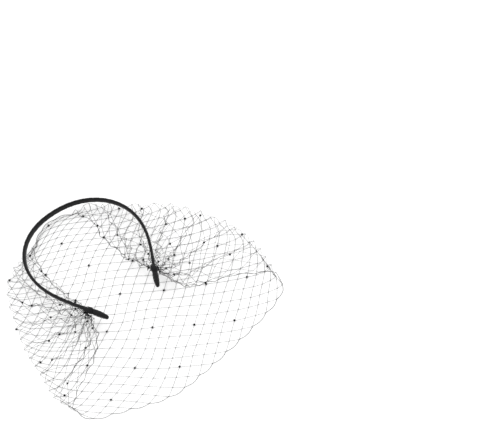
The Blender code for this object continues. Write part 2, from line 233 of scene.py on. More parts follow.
strip_points = []
for share in np.linspace(0, 1, BOX_STATIONS):
    strip_points += section(band_frame(LINE, share), STRIP_WIDTH, STRIP_THICKNESS, STRIP_SQUARENESS)
strip_points = np.array(strip_points)
cad_low, cad_high = (np.array(corner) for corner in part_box("headband"))
SHIFT = (cad_low + cad_high - strip_points.min(axis=0) - strip_points.max(axis=0)) / 2
SHIFT[2] = 0.0
print("shift", np.round(SHIFT / MM, 2), "mm")

# %% [markdown]
# ## Materials
#
# Everything is black, so the finish has to tell the pieces apart. Satin ribbon is woven from smooth
# acetate filaments: soft broad highlights across fine ribs. Nylon veiling is twisted and slightly
# shiny. Chenille is cut pile, which swallows light. Sewing thread is spun polyester.

# %% Black satin ribbon
RIB_PITCH = 0.5 * MM
CLOUD_SIZE = 3.85 * MM


def satin_ribbon():
    """Woven acetate satin: fine ribs across its length, read from the ribbon's own UV map in metres."""
    material = bpy.data.materials.new("black_woven_satin_ribbon")
    material.use_nodes = True
    tree = material.node_tree
    shader = tree.nodes["Principled BSDF"]
    place = add_node(tree, "ShaderNodeUVMap", {"uv_map": "ribbon"})
    # One band of the wave texture every 2 pi / 20 units: this scale makes the ribs a pitch apart.
    ribs = add_node(tree, "ShaderNodeTexWave",
                    {"bands_direction": "X", "Scale": math.pi / 10 / RIB_PITCH, "Distortion": 0.6,
                     "Detail": 1.0, "Detail Scale": 2.0}, {"Vector": place.outputs["UV"]})
    cloud = add_node(tree, "ShaderNodeTexNoise", {"Scale": 1 / CLOUD_SIZE, "Detail": 3.0},
                     {"Vector": place.outputs["UV"]})
    tone = add_node(tree, "ShaderNodeMix", {"data_type": "RGBA"}, {"Factor": cloud.outputs["Fac"]})
    tone.inputs[6].default_value = linear("#040405")
    tone.inputs[7].default_value = linear("#0c0c0e")
    tree.links.new(tone.outputs[2], shader.inputs["Base Color"])
    gloss = add_node(tree, "ShaderNodeMapRange", {"To Min": 0.42, "To Max": 0.62},
                     {"Value": cloud.outputs["Fac"]})
    tree.links.new(gloss.outputs["Result"], shader.inputs["Roughness"])
    bump = add_node(tree, "ShaderNodeBump", {"Strength": 0.35, "Distance": 0.08 * MM},
                    {"Height": ribs.outputs["Fac"]})
    tree.links.new(bump.outputs["Normal"], shader.inputs["Normal"])
    shader.inputs["Specular IOR Level"].default_value = 0.16
    shader.inputs["Sheen Weight"].default_value = 0.05
    return material


# %% Black nylon, chenille and sewing thread


def yarn(name, dark, light, roughness, grain, specular, sheen=0.0):
    """Spun or cut yarn: mottled tone and a fine bump from noise on Object coordinates."""
    material = bpy.data.materials.new(name)
    material.use_nodes = True
    tree = material.node_tree
    shader = tree.nodes["Principled BSDF"]
    place = add_node(tree, "ShaderNodeTexCoord")
    fibre = add_node(tree, "ShaderNodeTexNoise", {"Scale": 1 / grain, "Detail": 2.0},
                     {"Vector": place.outputs["Object"]})
    tone = add_node(tree, "ShaderNodeMix", {"data_type": "RGBA"}, {"Factor": fibre.outputs["Fac"]})
    tone.inputs[6].default_value = linear(dark)
    tone.inputs[7].default_value = linear(light)
    tree.links.new(tone.outputs[2], shader.inputs["Base Color"])
    gloss = add_node(tree, "ShaderNodeMapRange", {"To Min": roughness - 0.08, "To Max": roughness + 0.08},
                     {"Value": fibre.outputs["Fac"]})
    tree.links.new(gloss.outputs["Result"], shader.inputs["Roughness"])
    bump = add_node(tree, "ShaderNodeBump", {"Strength": 0.4, "Distance": 0.05 * MM},
                    {"Height": fibre.outputs["Fac"]})
    tree.links.new(bump.outputs["Normal"], shader.inputs["Normal"])
    shader.inputs["Specular IOR Level"].default_value = specular
    shader.inputs["Sheen Weight"].default_value = sheen
    return material


RIBBON = satin_ribbon()
NYLON = yarn("black_twisted_nylon_veiling", "#0a0a0c", "#1a1a1d", 0.50, 0.6 * MM, 0.30)
CHENILLE = yarn("black_chenille_pile", "#050506", "#111113", 0.85, 0.4 * MM, 0.15, 0.05)
SEWING = yarn("black_spun_polyester_thread", "#08080a", "#161619", 0.60, 0.5 * MM, 0.25)

# %% [markdown]
# ## The ribbon-wound band
#
# A narrow satin ribbon is wound round the strip on the bias, each turn overlapping the last by a
# few millimetres. It could be a texture, but the steps show along the edges of the band, so here
# the turns are real relief: a sawtooth that climbs over one turn and drops at the ribbon's edge.

# %% Wind the ribbon
RIBBON_PITCH = 8.0 * MM
RIBBON_STEP = 0.22 * MM
RIBBON_CLIMB = 0.92
RIBBON_SQUARENESS = 3.4
STATION = 0.8 * MM
BAND_SIDES = 28
SHARP_EDGE = math.radians(50)


def wound_strip(name, shares, heights, thicknesses, squareness, pitch, step):
    """Swept bar with a wound ribbon's sawtooth relief; its UV map holds metres along the ribbon."""
    bm = bmesh.new()
    uv_layer = bm.loops.layers.uv.new("ribbon")
    rings, places = [], []
    for share, height, thickness in zip(shares, heights, thicknesses):
        here = band_frame(LINE, share)
        ring = np.array(section(here, height, thickness, squareness, BAND_SIDES))
        out = ring - here[0]
        out /= np.linalg.norm(out, axis=1)[:, None]
        run = share * BAND_LENGTH
        turns = run / pitch + np.arange(BAND_SIDES) / BAND_SIDES
        climb = turns - np.floor(turns)
        relief = step * np.where(climb < RIBBON_CLIMB, climb / RIBBON_CLIMB,
                                 (1 - climb) / (1 - RIBBON_CLIMB))
        rings.append([bm.verts.new(point) for point in ring + out * relief[:, None] + SHIFT])
        places.append(run)
    around = 2 * (np.mean(heights) + np.mean(thicknesses)) / BAND_SIDES
    for lower in range(len(rings) - 1):
        for index in range(BAND_SIDES):
            after = (index + 1) % BAND_SIDES
            face = bm.faces.new((rings[lower][index], rings[lower][after],
                                 rings[lower + 1][after], rings[lower + 1][index]))
            corners = ((lower, index), (lower, index + 1), (lower + 1, index + 1), (lower + 1, index))
            for loop, (station, column) in zip(face.loops, corners):
                loop[uv_layer].uv = (column * around, places[station] + column * around)
    for ring in (rings[0], rings[-1]):
        middle = bm.verts.new(sum((vert.co for vert in ring), start=ring[0].co * 0) / BAND_SIDES)
        for index in range(BAND_SIDES):
            bm.faces.new((ring[index], ring[(index + 1) % BAND_SIDES], middle))
    bmesh.ops.recalc_face_normals(bm, faces=bm.faces)
    mesh = bpy.data.meshes.new(name)
    bm.to_mesh(mesh)
    bm.free()
    mesh.materials.append(RIBBON)
    mesh.shade_smooth()
    mesh.set_sharp_from_angle(angle=SHARP_EDGE)
    return linked_object(name, mesh)


end_share = 2 * CLEARANCE / BAND_LENGTH
band_shares = np.linspace(end_share, 1 - end_share, int(BAND_LENGTH / STATION))
plain_height = np.full(len(band_shares), STRIP_WIDTH - RIBBON_STEP)
plain_thickness = np.full(len(band_shares), STRIP_THICKNESS)
band = wound_strip("ribbon_wound_band", band_shares, plain_height, plain_thickness, RIBBON_SQUARENESS,
                   RIBBON_PITCH, RIBBON_STEP)
print("band faces", len(band.data.polygons))

# %% [markdown]
# ## Ribbon over the ends
#
# Each end of the strip is padded and bound with a few closer turns of the same ribbon, folded over
# the tip so that no edge can scratch. It is the same sweep, thicker, and rounded off at the nose.

# %% Wrap the ends
GATHER_FROM_TIP = 20 * MM
WRAP_WIDTH = 8.2 * MM
WRAP_THICKNESS = 6.0 * MM
BINDING_LENGTH = 7.4 * MM
WRAP_PITCH = 3.6 * MM
WRAP_STEP = 0.3 * MM
WRAP_SQUARENESS = 2.4
WRAP_STATIONS = 48
NOSE = 1.2 * MM
SWELL_AT = (-0.10, -0.06, 0.0, 0.12, 0.3, 0.6, 0.9, 1.0)
SWELL = (0.26, 0.50, 0.66, 0.80, 0.94, 1.04, 1.02, 0.95)


def tip_wrap(name, side):
    """Wound wrap from just past the tip of one end to its gather."""
    length = GATHER_FROM_TIP - BINDING_LENGTH / 2 - CLEARANCE
    places = np.linspace(-NOSE, length, WRAP_STATIONS)
    swell = np.interp(places / length, SWELL_AT, SWELL)
    shares = places / BAND_LENGTH
    if side > 0:
        shares = 1 - shares
    heights = (WRAP_WIDTH - WRAP_STEP) * swell
    thicknesses = (WRAP_THICKNESS - WRAP_STEP) * swell
    return wound_strip(name, shares, heights, thicknesses, WRAP_SQUARENESS, WRAP_PITCH, WRAP_STEP)


wraps = {side: tip_wrap(f"ribbon_wrap_{word}", side) for side, word in ((-1, "left"), (1, "right"))}
print("wrap faces", len(wraps[1].data.polygons))

# %% [markdown]
# ## Geometry Nodes for thread
#
# Threads, windings and pile repeat by the thousand, so a node tree makes them: it turns polylines
# into smooth splines and sweeps a round section along them. A second tree puts a knot on each
# point. Each tree takes named sizes, and ends in Realize Instances and Set Material.

# %% Trees and baking


def new_tree(name, sizes):
    """Geometry tree with a mesh in, a mesh out and named float inputs with their values."""
    tree = bpy.data.node_groups.new(name, "GeometryNodeTree")
    tree.interface.new_socket("Geometry", in_out="INPUT", socket_type="NodeSocketGeometry")
    tree.interface.new_socket("Geometry", in_out="OUTPUT", socket_type="NodeSocketGeometry")
    for size in sizes:
        tree.interface.new_socket(size, in_out="INPUT", socket_type="NodeSocketFloat")
    source = add_node(tree, "NodeGroupInput")
    return tree, source


def close_tree(tree, geometry, material):
    """Realize Instances, Set Material and the output."""
    real = add_node(tree, "GeometryNodeRealizeInstances", links={"Geometry": geometry})
    dressed = add_node(tree, "GeometryNodeSetMaterial", {"Material": material},
                       {"Geometry": real.outputs["Geometry"]})
    add_node(tree, "NodeGroupOutput", links={"Geometry": dressed.outputs["Geometry"]})


def bake(name, mesh, tree, sizes):
    """Run a tree on a mesh with these sizes and return the result as a plain mesh."""
    carrier = linked_object(name, mesh)
    modifier = carrier.modifiers.new("Build", "NODES")
    modifier.node_group = tree
    for socket in tree.interface.items_tree:
        if socket.in_out == "INPUT" and socket.name in sizes:
            modifier[socket.identifier] = sizes[socket.name]
    graph = bpy.context.evaluated_depsgraph_get()
    baked = bpy.data.meshes.new_from_object(carrier.evaluated_get(graph), depsgraph=graph)
    bpy.data.objects.remove(carrier)
    baked.name = name
    return baked


def thread_tree(name, material, sides):
    """Tube along every loose polyline, smoothed to a given number of points per thread."""
    tree, source = new_tree(name, ("Thread radius", "Points per thread"))
    curve = add_node(tree, "GeometryNodeMeshToCurve", links={"Mesh": source.outputs["Geometry"]})
    smooth = add_node(tree, "GeometryNodeCurveSplineType", {"spline_type": "CATMULL_ROM"},
                      {"Curve": curve.outputs["Curve"]})
    count = add_node(tree, "FunctionNodeFloatToInt", links={"Float": source.outputs["Points per thread"]})
    even = add_node(tree, "GeometryNodeResampleCurve", {"mode": "COUNT"},
                    {"Curve": smooth.outputs["Curve"], "Count": count.outputs["Integer"]})
    ring = add_node(tree, "GeometryNodeCurvePrimitiveCircle", {"Resolution": sides},
                    {"Radius": source.outputs["Thread radius"]})
    tube = add_node(tree, "GeometryNodeCurveToMesh", {"Fill Caps": True},
                    {"Curve": even.outputs["Curve"], "Profile Curve": ring.outputs["Curve"]})
    round_off = add_node(tree, "GeometryNodeSetShadeSmooth", links={"Geometry": tube.outputs["Mesh"]})
    close_tree(tree, round_off.outputs["Geometry"], material)
    return tree


def knot_tree(name, material):
    """A small ball on every point, stretched a little along a random axis."""
    tree, source = new_tree(name, ("Knot radius", "Knot stretch"))
    ball = add_node(tree, "GeometryNodeMeshIcoSphere", {"Subdivisions": 1},
                    {"Radius": source.outputs["Knot radius"]})
    turn = add_node(tree, "FunctionNodeRandomValue",
                    {"data_type": "FLOAT_VECTOR", "Max": (math.tau, math.tau, math.tau), "Seed": 11})
    longer = add_node(tree, "ShaderNodeCombineXYZ", {"Y": 1.0, "Z": 1.0},
                      {"X": source.outputs["Knot stretch"]})
    placed = add_node(tree, "GeometryNodeInstanceOnPoints", links={
        "Points": source.outputs["Geometry"], "Instance": ball.outputs["Mesh"],
        "Rotation": turn.outputs["Value"], "Scale": longer.outputs["Vector"]})
    close_tree(tree, placed.outputs["Instances"], material)
    return tree


def polyline_mesh(name, lines):
    """Mesh of loose edges, one run for each line of points."""
    points, edges = [], []
    for line in lines:
        first = len(points)
        points += list(line)
        edges += [(first + index, first + index + 1) for index in range(len(line) - 1)]
    return mesh_from(name, points, edges)


def joined(name, meshes):
    """One object from several meshes, at the origin."""
    parts = [linked_object(name + "_part", mesh) for mesh in meshes]
    with bpy.context.temp_override(active_object=parts[0], object=parts[0], selected_objects=parts,
                                   selected_editable_objects=parts):
        bpy.ops.object.join()
    parts[0].name = name
    parts[0].data.name = name
    return parts[0]


# %% [markdown]
# ## Thread windings at the gathers
#
# The neck of the gathered net is lashed to the strip with turn upon turn of sewing thread. A real
# binding is one thread wound round and back, so one long spiral in two layers makes it, thickest in
# the middle, over a core of squeezed net.

# %% Wind the bindings
BINDING_HEIGHT = 12 * MM
BINDING_THICKNESS = 7 * MM
SEWING_RADIUS = 0.26 * MM
BULGE = (0.72, 0.90, 1.0, 0.90, 0.72)
WINDING_TURNS = 15
WINDING_POINTS = 28
WINDING_SMOOTH_POINTS = 24.0
WINDING_WANDER = 0.05 * MM
CORE_INSET = 1.2 * MM
CORE_SIDES = 24


def winding(side):
    """Points of a spiral round the strip and the net's neck, out along the binding and back."""
    rng = np.random.default_rng(3)
    points = []
    total = 2 * WINDING_TURNS * WINDING_POINTS
    # On the way out the thread lies deep, on the way back it lies on top of its first turns.
    for index in range(total + 1):
        turn = index / WINDING_POINTS
        run = turn / WINDING_TURNS
        place = run if run <= 1 else 2 - run
        share = (GATHER_FROM_TIP + (place - 0.5) * (BINDING_LENGTH - 2 * SEWING_RADIUS)) / BAND_LENGTH
        centre, _, upright, out = band_frame(LINE, share if side < 0 else 1 - share)
        size = np.interp(place, np.linspace(0, 1, len(BULGE)), BULGE)
        layer = SEWING_RADIUS * (1.0 if run > 1 else 3.0) + rng.normal(0, WINDING_WANDER)
        angle = 2 * math.pi * turn
        up = math.cos(angle) * (BINDING_HEIGHT / 2 * size - layer)
        across = math.sin(angle) * (BINDING_THICKNESS / 2 * size - layer)
        points.append(centre + up * upright + across * out + SHIFT)
    return points


def binding_core(side):
    """Body under the winding: the neck of the net drawn together."""
    bm = bmesh.new()
    rings = []
    for place, bulge in zip(np.linspace(0.02, 0.98, len(BULGE)), BULGE):
        share = (GATHER_FROM_TIP + (place - 0.5) * BINDING_LENGTH) / BAND_LENGTH
        here = band_frame(LINE, share if side < 0 else 1 - share)
        ring = section(here, BINDING_HEIGHT * bulge - CORE_INSET, BINDING_THICKNESS * bulge - CORE_INSET,
                       2.0, CORE_SIDES)
        rings.append([bm.verts.new(point + SHIFT) for point in ring])
    for ring, following in zip(rings, rings[1:]):
        for index in range(len(ring)):
            after = (index + 1) % len(ring)
            bm.faces.new((ring[index], ring[after], following[after], following[index]))
    bm.faces.new(rings[0])
    bm.faces.new(rings[-1])
    bmesh.ops.recalc_face_normals(bm, faces=bm.faces)
    mesh = bpy.data.meshes.new("binding_core")
    bm.to_mesh(mesh)
    bm.free()
    mesh.materials.append(SEWING)
    mesh.shade_smooth()
    return mesh


SEWING_TREE = thread_tree("sewing_thread", SEWING, 5)
bindings = {}
for side, word in ((-1, "left"), (1, "right")):
    turns = bake("turns", polyline_mesh("turns", [winding(side)]), SEWING_TREE,
                 {"Thread radius": SEWING_RADIUS,
                  "Points per thread": 2 * WINDING_TURNS * WINDING_SMOOTH_POINTS})
    bindings[side] = joined(f"thread_binding_{word}", [turns, binding_core(side)])
print("binding faces", len(bindings[1].data.polygons))

# %% [markdown]
# ## The surface that the net follows
#
# The veiling is cut 610 by 229 mm. The form below says where each place of that flat rectangle
# lies: a flat panel between two folds, the round of each fold, and a pleated fan from each fold up
# to its gather. It has the outline and the heights of the CAD model's net, from the same sizes, and
# adds what only the fine net shows: the panel arches a little, the folds cross the net in a deeper
# bow, and the fans take finer pleats that overlap, with most of the spare net drawn to the gather.

# %% Sizes of the net
NET_LENGTH = 610 * MM
NET_WIDTH = 229 * MM
PLEATS = 7
PLEAT_HEIGHT = 7 * MM
PLEAT_FADE = 0.6
FAN_CLIMB = 1.7
FAN_FULLNESS = 1.2
ARCH = {"place": 0.42, "spread": 0.22, "rise": 8 * MM, "compass": math.radians(55)}
FINE_PLEATS = 17
OVERLAP = {"wide": 1.7, "fine": 1.7}
PLEATS_START = 0.12
PLEATS_MARGIN = 0.1
SPREAD_WIDTH = 282 * MM
SPREAD_DEPTH = 250 * MM
NEAR_EDGE = [
    {"across": -0.390, "along": -0.312},
    {"across": -0.300, "along": -0.356},
    {"across": -0.190, "along": -0.392},
    {"across": -0.050, "along": -0.424},
    {"across": 0.110, "along": -0.392},
    {"across": 0.310, "along": -0.350},
    {"across": 0.510, "along": -0.272},
]
FAR_EDGE = [
    {"across": -0.086, "along": 0.540},
    {"across": -0.008, "along": 0.555},
]
LEFT_FOLD = [
    {"across": -0.425, "along": -0.252},
    {"across": -0.449, "along": -0.160},
    {"across": -0.438, "along": -0.060},
    {"across": -0.428, "along": 0.085},
    {"across": -0.388, "along": 0.240},
    {"across": -0.333, "along": 0.390},
    {"across": -0.232, "along": 0.472},
    {"across": -0.150, "along": 0.495},
]
RIGHT_FOLD = [
    {"across": 0.531, "along": -0.200},
    {"across": 0.537, "along": 0.035},
    {"across": 0.460, "along": 0.215},
    {"across": 0.370, "along": 0.340},
    {"across": 0.260, "along": 0.425},
    {"across": 0.135, "along": 0.530},
    {"across": 0.070, "along": 0.545},
]
LEFT_FOLD_SHARE = {"near": 0.246, "far": 0.400, "bow": -0.055}
RIGHT_FOLD_SHARE = {"near": 0.737, "far": 0.530, "bow": 0.065}
LEFT_FAN = {
    "near": {"compass": 240, "bow": 0.048, "skew": 1.4},
    "far": {"compass": 98, "bow": 0.032, "skew": 0.7},
}
RIGHT_FAN = {
    "near": {"compass": 312, "bow": 0.064, "skew": 2.0},
    "far": {"compass": 452, "bow": -0.044, "skew": 1.5},
}
MAIN_PLEATS = [
    {"side": -1, "place": 0.16, "spread": 0.05, "rise": 0.35},
    {"side": -1, "place": 0.55, "spread": 0.06, "rise": 0.25},
    {"side": 1, "place": 0.30, "spread": 0.05, "rise": 0.45},
    {"side": 1, "place": 0.62, "spread": 0.06, "rise": 0.25},
]

# %% The form


def table_points(rows):
    """Points of a table's rows, flat in plan."""
    return [(row["across"] * SPREAD_WIDTH, row["along"] * SPREAD_DEPTH, 0.0) for row in rows]


class NetForm:
    """The lying net as a surface over its flat rectangle."""

    def __init__(self, line):
        self.hub_radius = BINDING_LENGTH / 2 + 2 * CLEARANCE
        hub_drop = STRIP_WIDTH / 2 + 2 * CLEARANCE + NET_THICKNESS / 2
        gather_share = GATHER_FROM_TIP / BAND_LENGTH
        self.folds = {}
        sides = ((-1, LEFT_FOLD, LEFT_FOLD_SHARE, LEFT_FAN), (1, RIGHT_FOLD, RIGHT_FOLD_SHARE, RIGHT_FAN))
        for side, rows, shares, fan in sides:
            centre, _, upright, _ = band_frame(line, gather_share if side < 0 else 1 - gather_share)
            pleats = [row for row in MAIN_PLEATS if row["side"] == side]
            self.folds[side] = {"line": smooth_line(table_points(rows)), "shares": shares, "fan": fan,
                                "gather": centre - hub_drop * upright, "pleats": pleats}
        self.near = self.panel_edge(NEAR_EDGE, 0.0)
        self.far = self.panel_edge(FAR_EDGE, 1.0)

    def panel_edge(self, rows, v):
        """Long edge of the flat panel, from the left fold to the right one."""
        ends = self.turn(-1, v, 0.0), self.turn(1, v, 0.0)
        line = smooth_line([ends[0]] + table_points(rows) + [ends[1]])
        line[:, 2] = ends[0][2]
        return line

    def fold_share(self, side, v):
        shares = self.folds[side]["shares"]
        return shares["near"] + (shares["far"] - shares["near"]) * v + shares["bow"] * 4 * v * (1 - v)

    def turn(self, side, v, angle):
        """Round of the fold: angle 0 where the net leaves the surface, pi where it lies on top."""
        point, tangent = along(self.folds[side]["line"], v)
        inwards = np.array([-tangent[1], tangent[0], 0.0]) * side
        level = point + inwards * FOLD_RADIUS * (1 - math.sin(angle))
        level[2] = NET_THICKNESS / 2 + FOLD_RADIUS * (1 - math.cos(angle))
        return level

    def panel(self, s, v):
        """Flat panel between the folds: a patch over its four edges, arched a little in its middle."""
        level = self.turn(-1, v, 0.0) * (1 - s) + self.turn(1, v, 0.0) * s
        for edge, share in ((self.near, 1 - v), (self.far, v)):
            point, _ = along(edge, s)
            level += (point - edge[0] * (1 - s) - edge[-1] * s) * share
        arch = math.exp(-((s - ARCH["place"]) / ARCH["spread"]) ** 2) * math.sin(math.pi * np.clip(v, 0, 1))
        return level + ARCH["rise"] * arch * direction(ARCH["compass"])

    def fan(self, side, t, v):
        """Pleated fan from the top of the fold (t 0) to the hub at the gather (t 1)."""
        fold = self.folds[side]
        near, far = fold["fan"]["near"], fold["fan"]["far"]
        start = self.turn(side, v, math.pi)
        compass = math.radians(near["compass"] + (far["compass"] - near["compass"]) * v)
        end = fold["gather"] + self.hub_radius * direction(compass)
        point = start + (end - start) * t
        point[2] = start[2] + (end[2] - start[2]) * t ** FAN_CLIMB
        run = unit((end - start) * (1, 1, 0))
        sideways = np.array([-run[1], run[0], 0.0]) * side
        for edge, share in ((near, max(1 - v, 0.0)), (far, max(v, 0.0))):
            bow = edge["bow"] * SPREAD_DEPTH * math.sin(math.pi * t ** edge["skew"])
            point += sideways * bow * share ** 2
        lift = 0.5 + 0.5 * math.cos(2 * math.pi * PLEATS * v)
        for row in fold["pleats"]:
            lift += row["rise"] * math.exp(-((v - row["place"]) / row["spread"]) ** 2)
        point[2] += PLEAT_HEIGHT * lift * math.sin(math.pi * t) * max(1 - v, 0.0) ** PLEAT_FADE
        return point

    def point(self, u, v):
        """Place of share u of the net's length and v of its width, and the layer it lies in."""
        bend = math.pi * FOLD_RADIUS / 2 / NET_LENGTH
        left = self.fold_share(-1, v)
        right = self.fold_share(1, v)
        if u < left - bend:
            return self.gathered(-1, 1 - u / (left - bend), left, v)
        if u < left + bend:
            return self.turn(-1, v, math.pi * (left + bend - u) / (2 * bend)), 0.5
        if u < right - bend:
            return self.panel((u - left - bend) / (right - left - 2 * bend), v), 0.0
        if u < right + bend:
            return self.turn(1, v, math.pi * (u - right + bend) / (2 * bend)), 0.5
        return self.gathered(1, (u - right - bend) / (1 - right - bend), 1 - right, v)

    def gathered(self, side, t, share, v):
        """Fan with the net's own spacing near the fold and its surplus drawn in to the gather."""
        run = np.linalg.norm(self.fan(side, 1.0, v) - self.fan(side, 0.0, v))
        power = max(1.0, FAN_FULLNESS * share * NET_LENGTH / run)
        drawn = 1 - (1 - t) ** power
        fade = min(drawn / PLEATS_START, 1.0) * min(v / PLEATS_MARGIN, (1 - v) / PLEATS_MARGIN, 1.0)
        wide, fine = 2 * math.pi * PLEATS, 2 * math.pi * FINE_PLEATS
        doubled = v + fade * (OVERLAP["wide"] * math.sin(wide * v + 2 * side) / wide
                              + OVERLAP["fine"] * math.sin(fine * v + 3 * drawn) / fine)
        return self.fan(side, drawn, doubled), 1.0 + drawn


# %% [markdown]
# ## Knots and threads
#
# The mesh is a lattice of diamonds, twice as long as they are wide. Every knot joins four threads,
# and along each long edge one more thread runs from knot to knot in small scallops. Each thread is
# kept as four points, so it can bend.

# %% Lay out the lattice
DIAMONDS_LONG = 31
DIAMONDS_WIDE = 22
SCALLOP = 2.2 * MM
SELVEDGE_SLACK = 0.6 * MM
THREAD_PARTS = 3

form = NetForm(LINE)
last_a, last_b = 2 * DIAMONDS_LONG, 2 * DIAMONDS_WIDE
half_long, half_wide = NET_LENGTH / last_a, NET_WIDTH / last_b
thread_length = math.hypot(half_long, half_wide)
knot_index = {}
home, layer = [], []
for a in range(last_a + 1):
    for b in range(last_b + 1):
        if (a + b) % 2 == 0:
            place, depth = form.point(a / last_a, b / last_b)
            knot_index[a, b] = len(home)
            home.append(place)
            layer.append(depth)
knot_count = len(home)

pairs, lengths, bulges = [], [], []
for (a, b), knot in knot_index.items():
    for step in (1, -1):
        if (a + 1, b + step) in knot_index:
            pairs.append((knot, knot_index[a + 1, b + step]))
            lengths.append(thread_length)
            bulges.append(0.0)
    if b in (0, last_b) and (a + 2, b) in knot_index:
        pairs.append((knot, knot_index[a + 2, b]))
        lengths.append(2 * half_long + SELVEDGE_SLACK)
        bulges.append(-SCALLOP if b == 0 else SCALLOP)
pairs, lengths, bulges = np.array(pairs), np.array(lengths), np.array(bulges)
print(f"{knot_count} knots, {len(pairs)} threads of {thread_length / MM:.1f} mm")

# %% [markdown]
# ## Letting the threads find their places
#
# In the fans there is far more net than room, so the threads crumple. Moving every knot by hand
# isn't possible, and Blender's Cloth treats a net as solid cloth. Instead a short relaxation runs
# here: each part of each thread is pushed back to its real length, again and again, while the
# knots are drawn gently to the form and kept above the surface and below the band.
#
# First every thread gets its inner points. A layer number goes with each point: 0 on the flat
# panel, 0.5 in the round of a fold, and 1 to 2 from the top of a fold to the gather.

# %% Points of every thread
home = np.array(home)
layer = np.array(layer)
flat = np.array([(a / last_a, b / last_b) for a, b in knot_index])
inner_home, inner_layer, inner_flat, runs = [], [], [], []
for start, end in pairs:
    inner = []
    for step in range(1, THREAD_PARTS):
        t = step / THREAD_PARTS
        inner.append(knot_count + len(inner_home))
        inner_flat.append(flat[start] * (1 - t) + flat[end] * t)
        place, depth = form.point(*inner_flat[-1])
        inner_home.append(place)
        inner_layer.append(depth)
    runs.append([start] + inner + [end])
runs = np.array(runs)
places = np.vstack([home, inner_home])
layers = np.concatenate([layer, inner_layer])
flat = np.vstack([flat, inner_flat])
targets = places.copy()
print(len(places), "points")

# %% [markdown]
# Next, how firmly each point is held to the form. The flat panel is held firmly and the fans
# softly. What lies at the gather can't move, because the winding grips it. In the fans only the
# knots are held, and the threads hang freely between them.

# %% How firmly each point is held
PANEL_HOLD = 0.25
FAN_HOLD = 0.05
THREAD_HOLD_SHARE = 0.6
FAN_FROM_LAYER = 0.75
LOOSE_AFTER_FOLD = 0.06
LOOSE_BEFORE_GATHER = 0.2

in_fan = layers > FAN_FROM_LAYER
at_hub = np.zeros(len(places), dtype=bool)
for (a, b), knot in knot_index.items():
    at_hub[knot] = a < 2 or a > last_a - 2
from_fold = np.clip((layers - 1.0) / LOOSE_AFTER_FOLD, 0.0, 1.0)
hold = np.where(in_fan, PANEL_HOLD + (FAN_HOLD - PANEL_HOLD) * from_fold, PANEL_HOLD)
hold[knot_count:] *= np.where(in_fan[knot_count:], 0.0, THREAD_HOLD_SHARE)
hold[at_hub] = 1.0
to_gather = np.clip((2.0 - layers) / LOOSE_BEFORE_GATHER, 0, 1)
free = np.where(in_fan & ~at_hub, from_fold * to_gather, 0.0)[:, None]
print(f"{100 * np.mean(free > 0):.0f}% of the points lie free in the fans")

# %% [markdown]
# Real veiling never lies as a perfect form: it is crumpled from its packet. A sum of smooth waves
# in random headings gives the crumple, a row of pleats sways towards the gather, and the flat panel
# wanders by about a millimetre. The seed is fixed, so the net is the same each time.

# %% Crumple and sway
CRUMPLE_WAVES = 14
CRUMPLE_TURNS = (42.0, 24.0)
CRUMPLE_SUM = 3.7
CRUMPLE = 2.0 * MM
PLEAT_WAVES = 11
PLEAT_DRIFT = {"swing": 5, "turns": 7}
PLEAT_SWAY = 1.2 * MM
SWAY_AXES = np.array([0.5, 0.5, 1.0])
PANEL_WANDER = 0.9 * MM
START_NOISE = {"panel": 0.12 * MM, "fan": 0.5 * MM}

rng = np.random.default_rng(7)
crumple = np.zeros(places.shape)
for wave in range(CRUMPLE_WAVES):
    heading = rng.normal(0, 1, 2) * CRUMPLE_TURNS
    crumple += rng.normal(0, 1, 3) * np.sin(flat @ heading + rng.uniform(0, math.tau))[:, None]
drift = PLEAT_DRIFT["swing"] * np.sin(PLEAT_DRIFT["turns"] * flat[:, 0])
sway = np.sin(2 * math.pi * PLEAT_WAVES * flat[:, 1] + drift)
crumpled = free * (crumple * CRUMPLE / CRUMPLE_SUM + sway[:, None] * PLEAT_SWAY * SWAY_AXES)
wander = np.clip(1 - layers, 0, 1)[:, None] * crumple * (1, 1, 0) * PANEL_WANDER / CRUMPLE_SUM
places += crumpled
places += rng.normal(0, 1, places.shape) * (START_NOISE["panel"] + free * START_NOISE["fan"])
places += wander
targets = targets + wander + crumpled
print(f"crumple moves the fans by up to {np.abs(crumpled).max() / MM:.1f} mm")

# %% [markdown]
# A thread can't stretch, but it can bow between its points, so each part may be shorter than its
# real length, down to a share of it. Every round moves all points a little. The heights are kept
# between a floor and a ceiling, and every few rounds what lies under the band is pressed below it.

# %% Relax
ROUNDS = 260
OVERSHOOT = 1.5
BEND_HOLD = 0.25
SLACK_SHARE = 1.22
SHORTEST_SHARE = 0.30
LONGEST_SHARE = 0.97
THREAD_RADIUS = 0.15 * MM
KNOT_RADIUS = 0.38 * MM
KNOT_STRETCH = 1.4
PANEL_CEILING = 1.3 * MM
FAN_FLOOR = 2.2 * MM
FAN_CEILING = 20.0 * MM
BAND_STRIDE = 3
BAND_REACH = 6 * MM
BAND_GAP = 0.6 * MM
BAND_EVERY = 12

starts, ends = runs[:, :-1].ravel(), runs[:, 1:].ravel()
rest = np.repeat(lengths / THREAD_PARTS, THREAD_PARTS)
laid = np.linalg.norm(targets[ends] - targets[starts], axis=1)
shortest = np.clip(laid * SLACK_SHARE, SHORTEST_SHARE * rest, LONGEST_SHARE * rest)
shares_each = np.bincount(np.concatenate([starts, ends]), minlength=len(places))
middles, before, after = runs[:, 1:-1].ravel(), runs[:, :-2].ravel(), runs[:, 2:].ravel()
low = np.where(in_fan, FAN_FLOOR, THREAD_RADIUS)
low[:knot_count] = np.maximum(low[:knot_count], KNOT_STRETCH * KNOT_RADIUS)
high = np.where(in_fan, FAN_CEILING, PANEL_CEILING + (layers > 0.05) * 2 * FOLD_RADIUS)
band_points = LINE[::BAND_STRIDE, :2]
band_under = LINE[::BAND_STRIDE, 2] - STRIP_WIDTH / 2 - BAND_GAP


